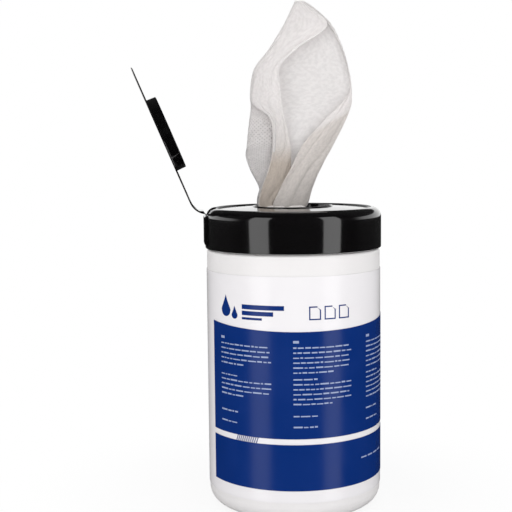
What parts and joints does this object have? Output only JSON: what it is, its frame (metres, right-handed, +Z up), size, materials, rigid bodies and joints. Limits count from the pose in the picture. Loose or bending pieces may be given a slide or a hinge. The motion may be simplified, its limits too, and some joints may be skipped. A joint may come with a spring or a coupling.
{
  "type": "wipes canister",
  "caption": "Round plastic canister of degreasing wipes with a wrapped label, a push-on cap, a flip lid on a living hinge, the roll inside and one wipe pulled up.",
  "frame": {"origin": "centre of the canister's base, on the surface it stands on", "axes": "+Z up along the canister's axis, the lid's hinge on the -X side, the label's front towards -Y"},
  "size_m": [0.1546, 0.1102, 0.3134],
  "materials": {
    "tub_white": "satin",
    "label_film": "gloss",
    "label_blue": "gloss",
    "cap_black": "gloss",
    "wipe_cloth": "matte"
  },
  "bodies": {
    "canister": {"canister": "tub_white", "label": "label_film", "label_blue_panel": "label_blue", "label_blue_band": "label_blue", "wipe_roll": "wipe_cloth"},
    "cap": {"cap": "cap_black", "wipe": "wipe_cloth"},
    "lid": {"lid": "cap_black"}
  },
  "joints": [
    {"name": "cap_lift", "type": "slide", "parent": "canister", "child": "cap", "axis": [0, 0, 1], "range_m": [0, 0.03]},
    {"name": "lid_hinge", "type": "hinge", "parent": "cap", "child": "lid", "pos_m": [-0.05505, 0, 0.1828], "axis": [0, -1, 0], "range_deg": [-112.86, 0], "deforming": ["wipe"]}
  ]
}
